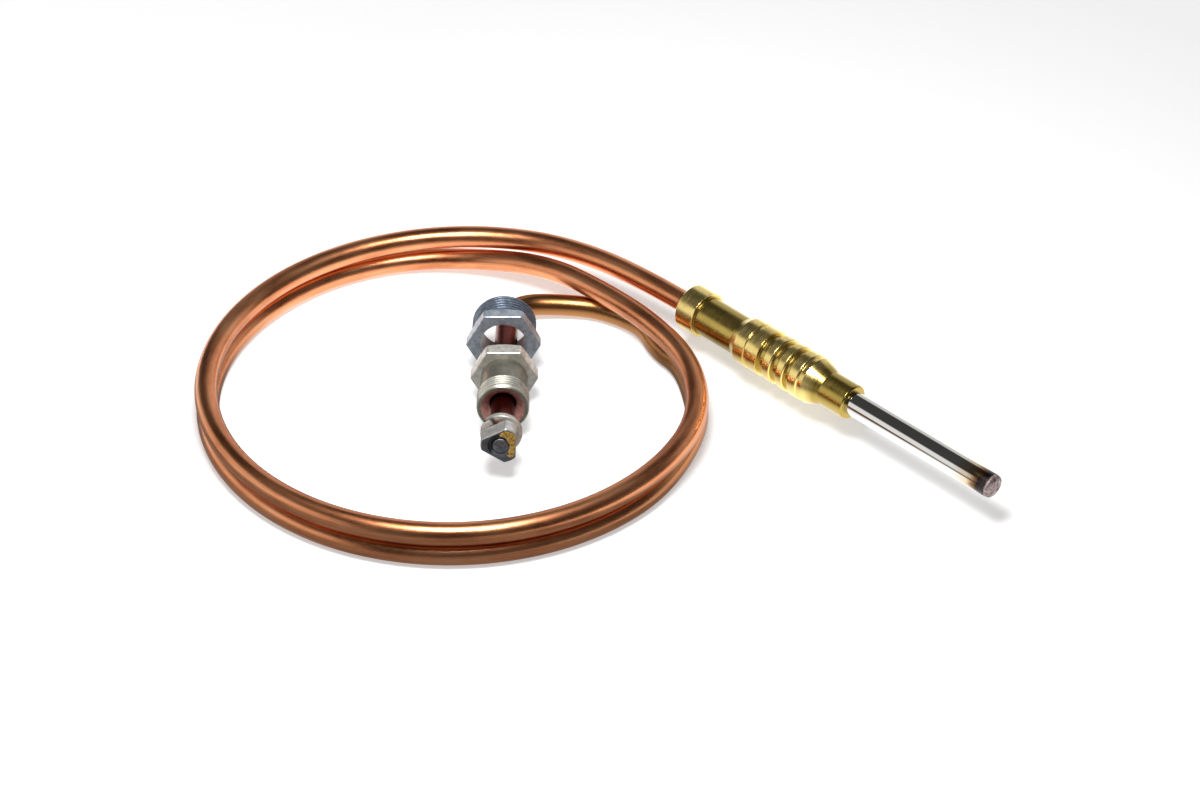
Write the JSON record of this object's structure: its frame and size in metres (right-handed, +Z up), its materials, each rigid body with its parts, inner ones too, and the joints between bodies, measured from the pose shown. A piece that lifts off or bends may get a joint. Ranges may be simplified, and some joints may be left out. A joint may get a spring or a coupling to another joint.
{
  "type": "gas burner thermocouple",
  "caption": "Gas burner thermocouple: a steel probe in a ribbed brass sleeve, a coiled copper lead, and a soldered terminal with a lock washer and two loose threaded nuts.",
  "frame": {"origin": "centre of the sleeve's front face, on the probe's axis, 7.2 mm above the surface that the lead lies on", "axes": "+X along the probe rod towards its tip, +Z up from the surface that the lead lies on"},
  "size_m": [0.1146, 0.0793, 0.0109],
  "materials": {
    "brass": "turned",
    "probe_steel": "polished with heat tint",
    "weld_metal": "matte weld bead",
    "core_alloy": "drawn wire",
    "insulation": "woven fibre",
    "braze": "flowed braze",
    "copper": "drawn copper",
    "copper_core": "drawn wire",
    "nickel_plate": "dull nickel plate",
    "solder": "flowed solder",
    "dark_insulation": "moulded",
    "zinc_plate": "blue zinc plate"
  },
  "bodies": {
    "probe_and_lead": {"brass_sleeve": "brass", "probe_sheath": "probe_steel", "hot_junction_weld": "weld_metal", "core_wire": "core_alloy", "core_insulator": "insulation", "cold_junction_splice": "core_alloy", "splice_cover": "insulation", "rear_braze_ring": "braze", "lead_tube": "copper", "lead_insulation": "insulation", "lead_conductor": "copper_core", "terminal_ferrule": "nickel_plate", "terminal_solder": "solder", "terminal_insulator": "dark_insulation", "terminal_contact": "solder"},
    "washer": {"lock_washer": "nickel_plate"},
    "connector": {"connector_nut": "nickel_plate"},
    "adapter": {"adapter_nut": "zinc_plate"}
  },
  "joints": [
    {"name": "washer_spin", "type": "hinge", "parent": "probe_and_lead", "child": "washer", "pos_m": [-0.03166, -0.04201, -0.00069], "axis": [0.7162, -0.69, 0.1045], "continuous": true},
    {"name": "connector_slide", "type": "slide", "parent": "washer", "child": "connector", "axis": [0.7162, -0.69, 0.1045], "range_m": [-0.0028, 0.0058]},
    {"name": "adapter_slide", "type": "slide", "parent": "probe_and_lead", "child": "adapter", "axis": [0.7162, -0.69, 0.1045], "range_m": [-0.002, 0.0016]}
  ]
}
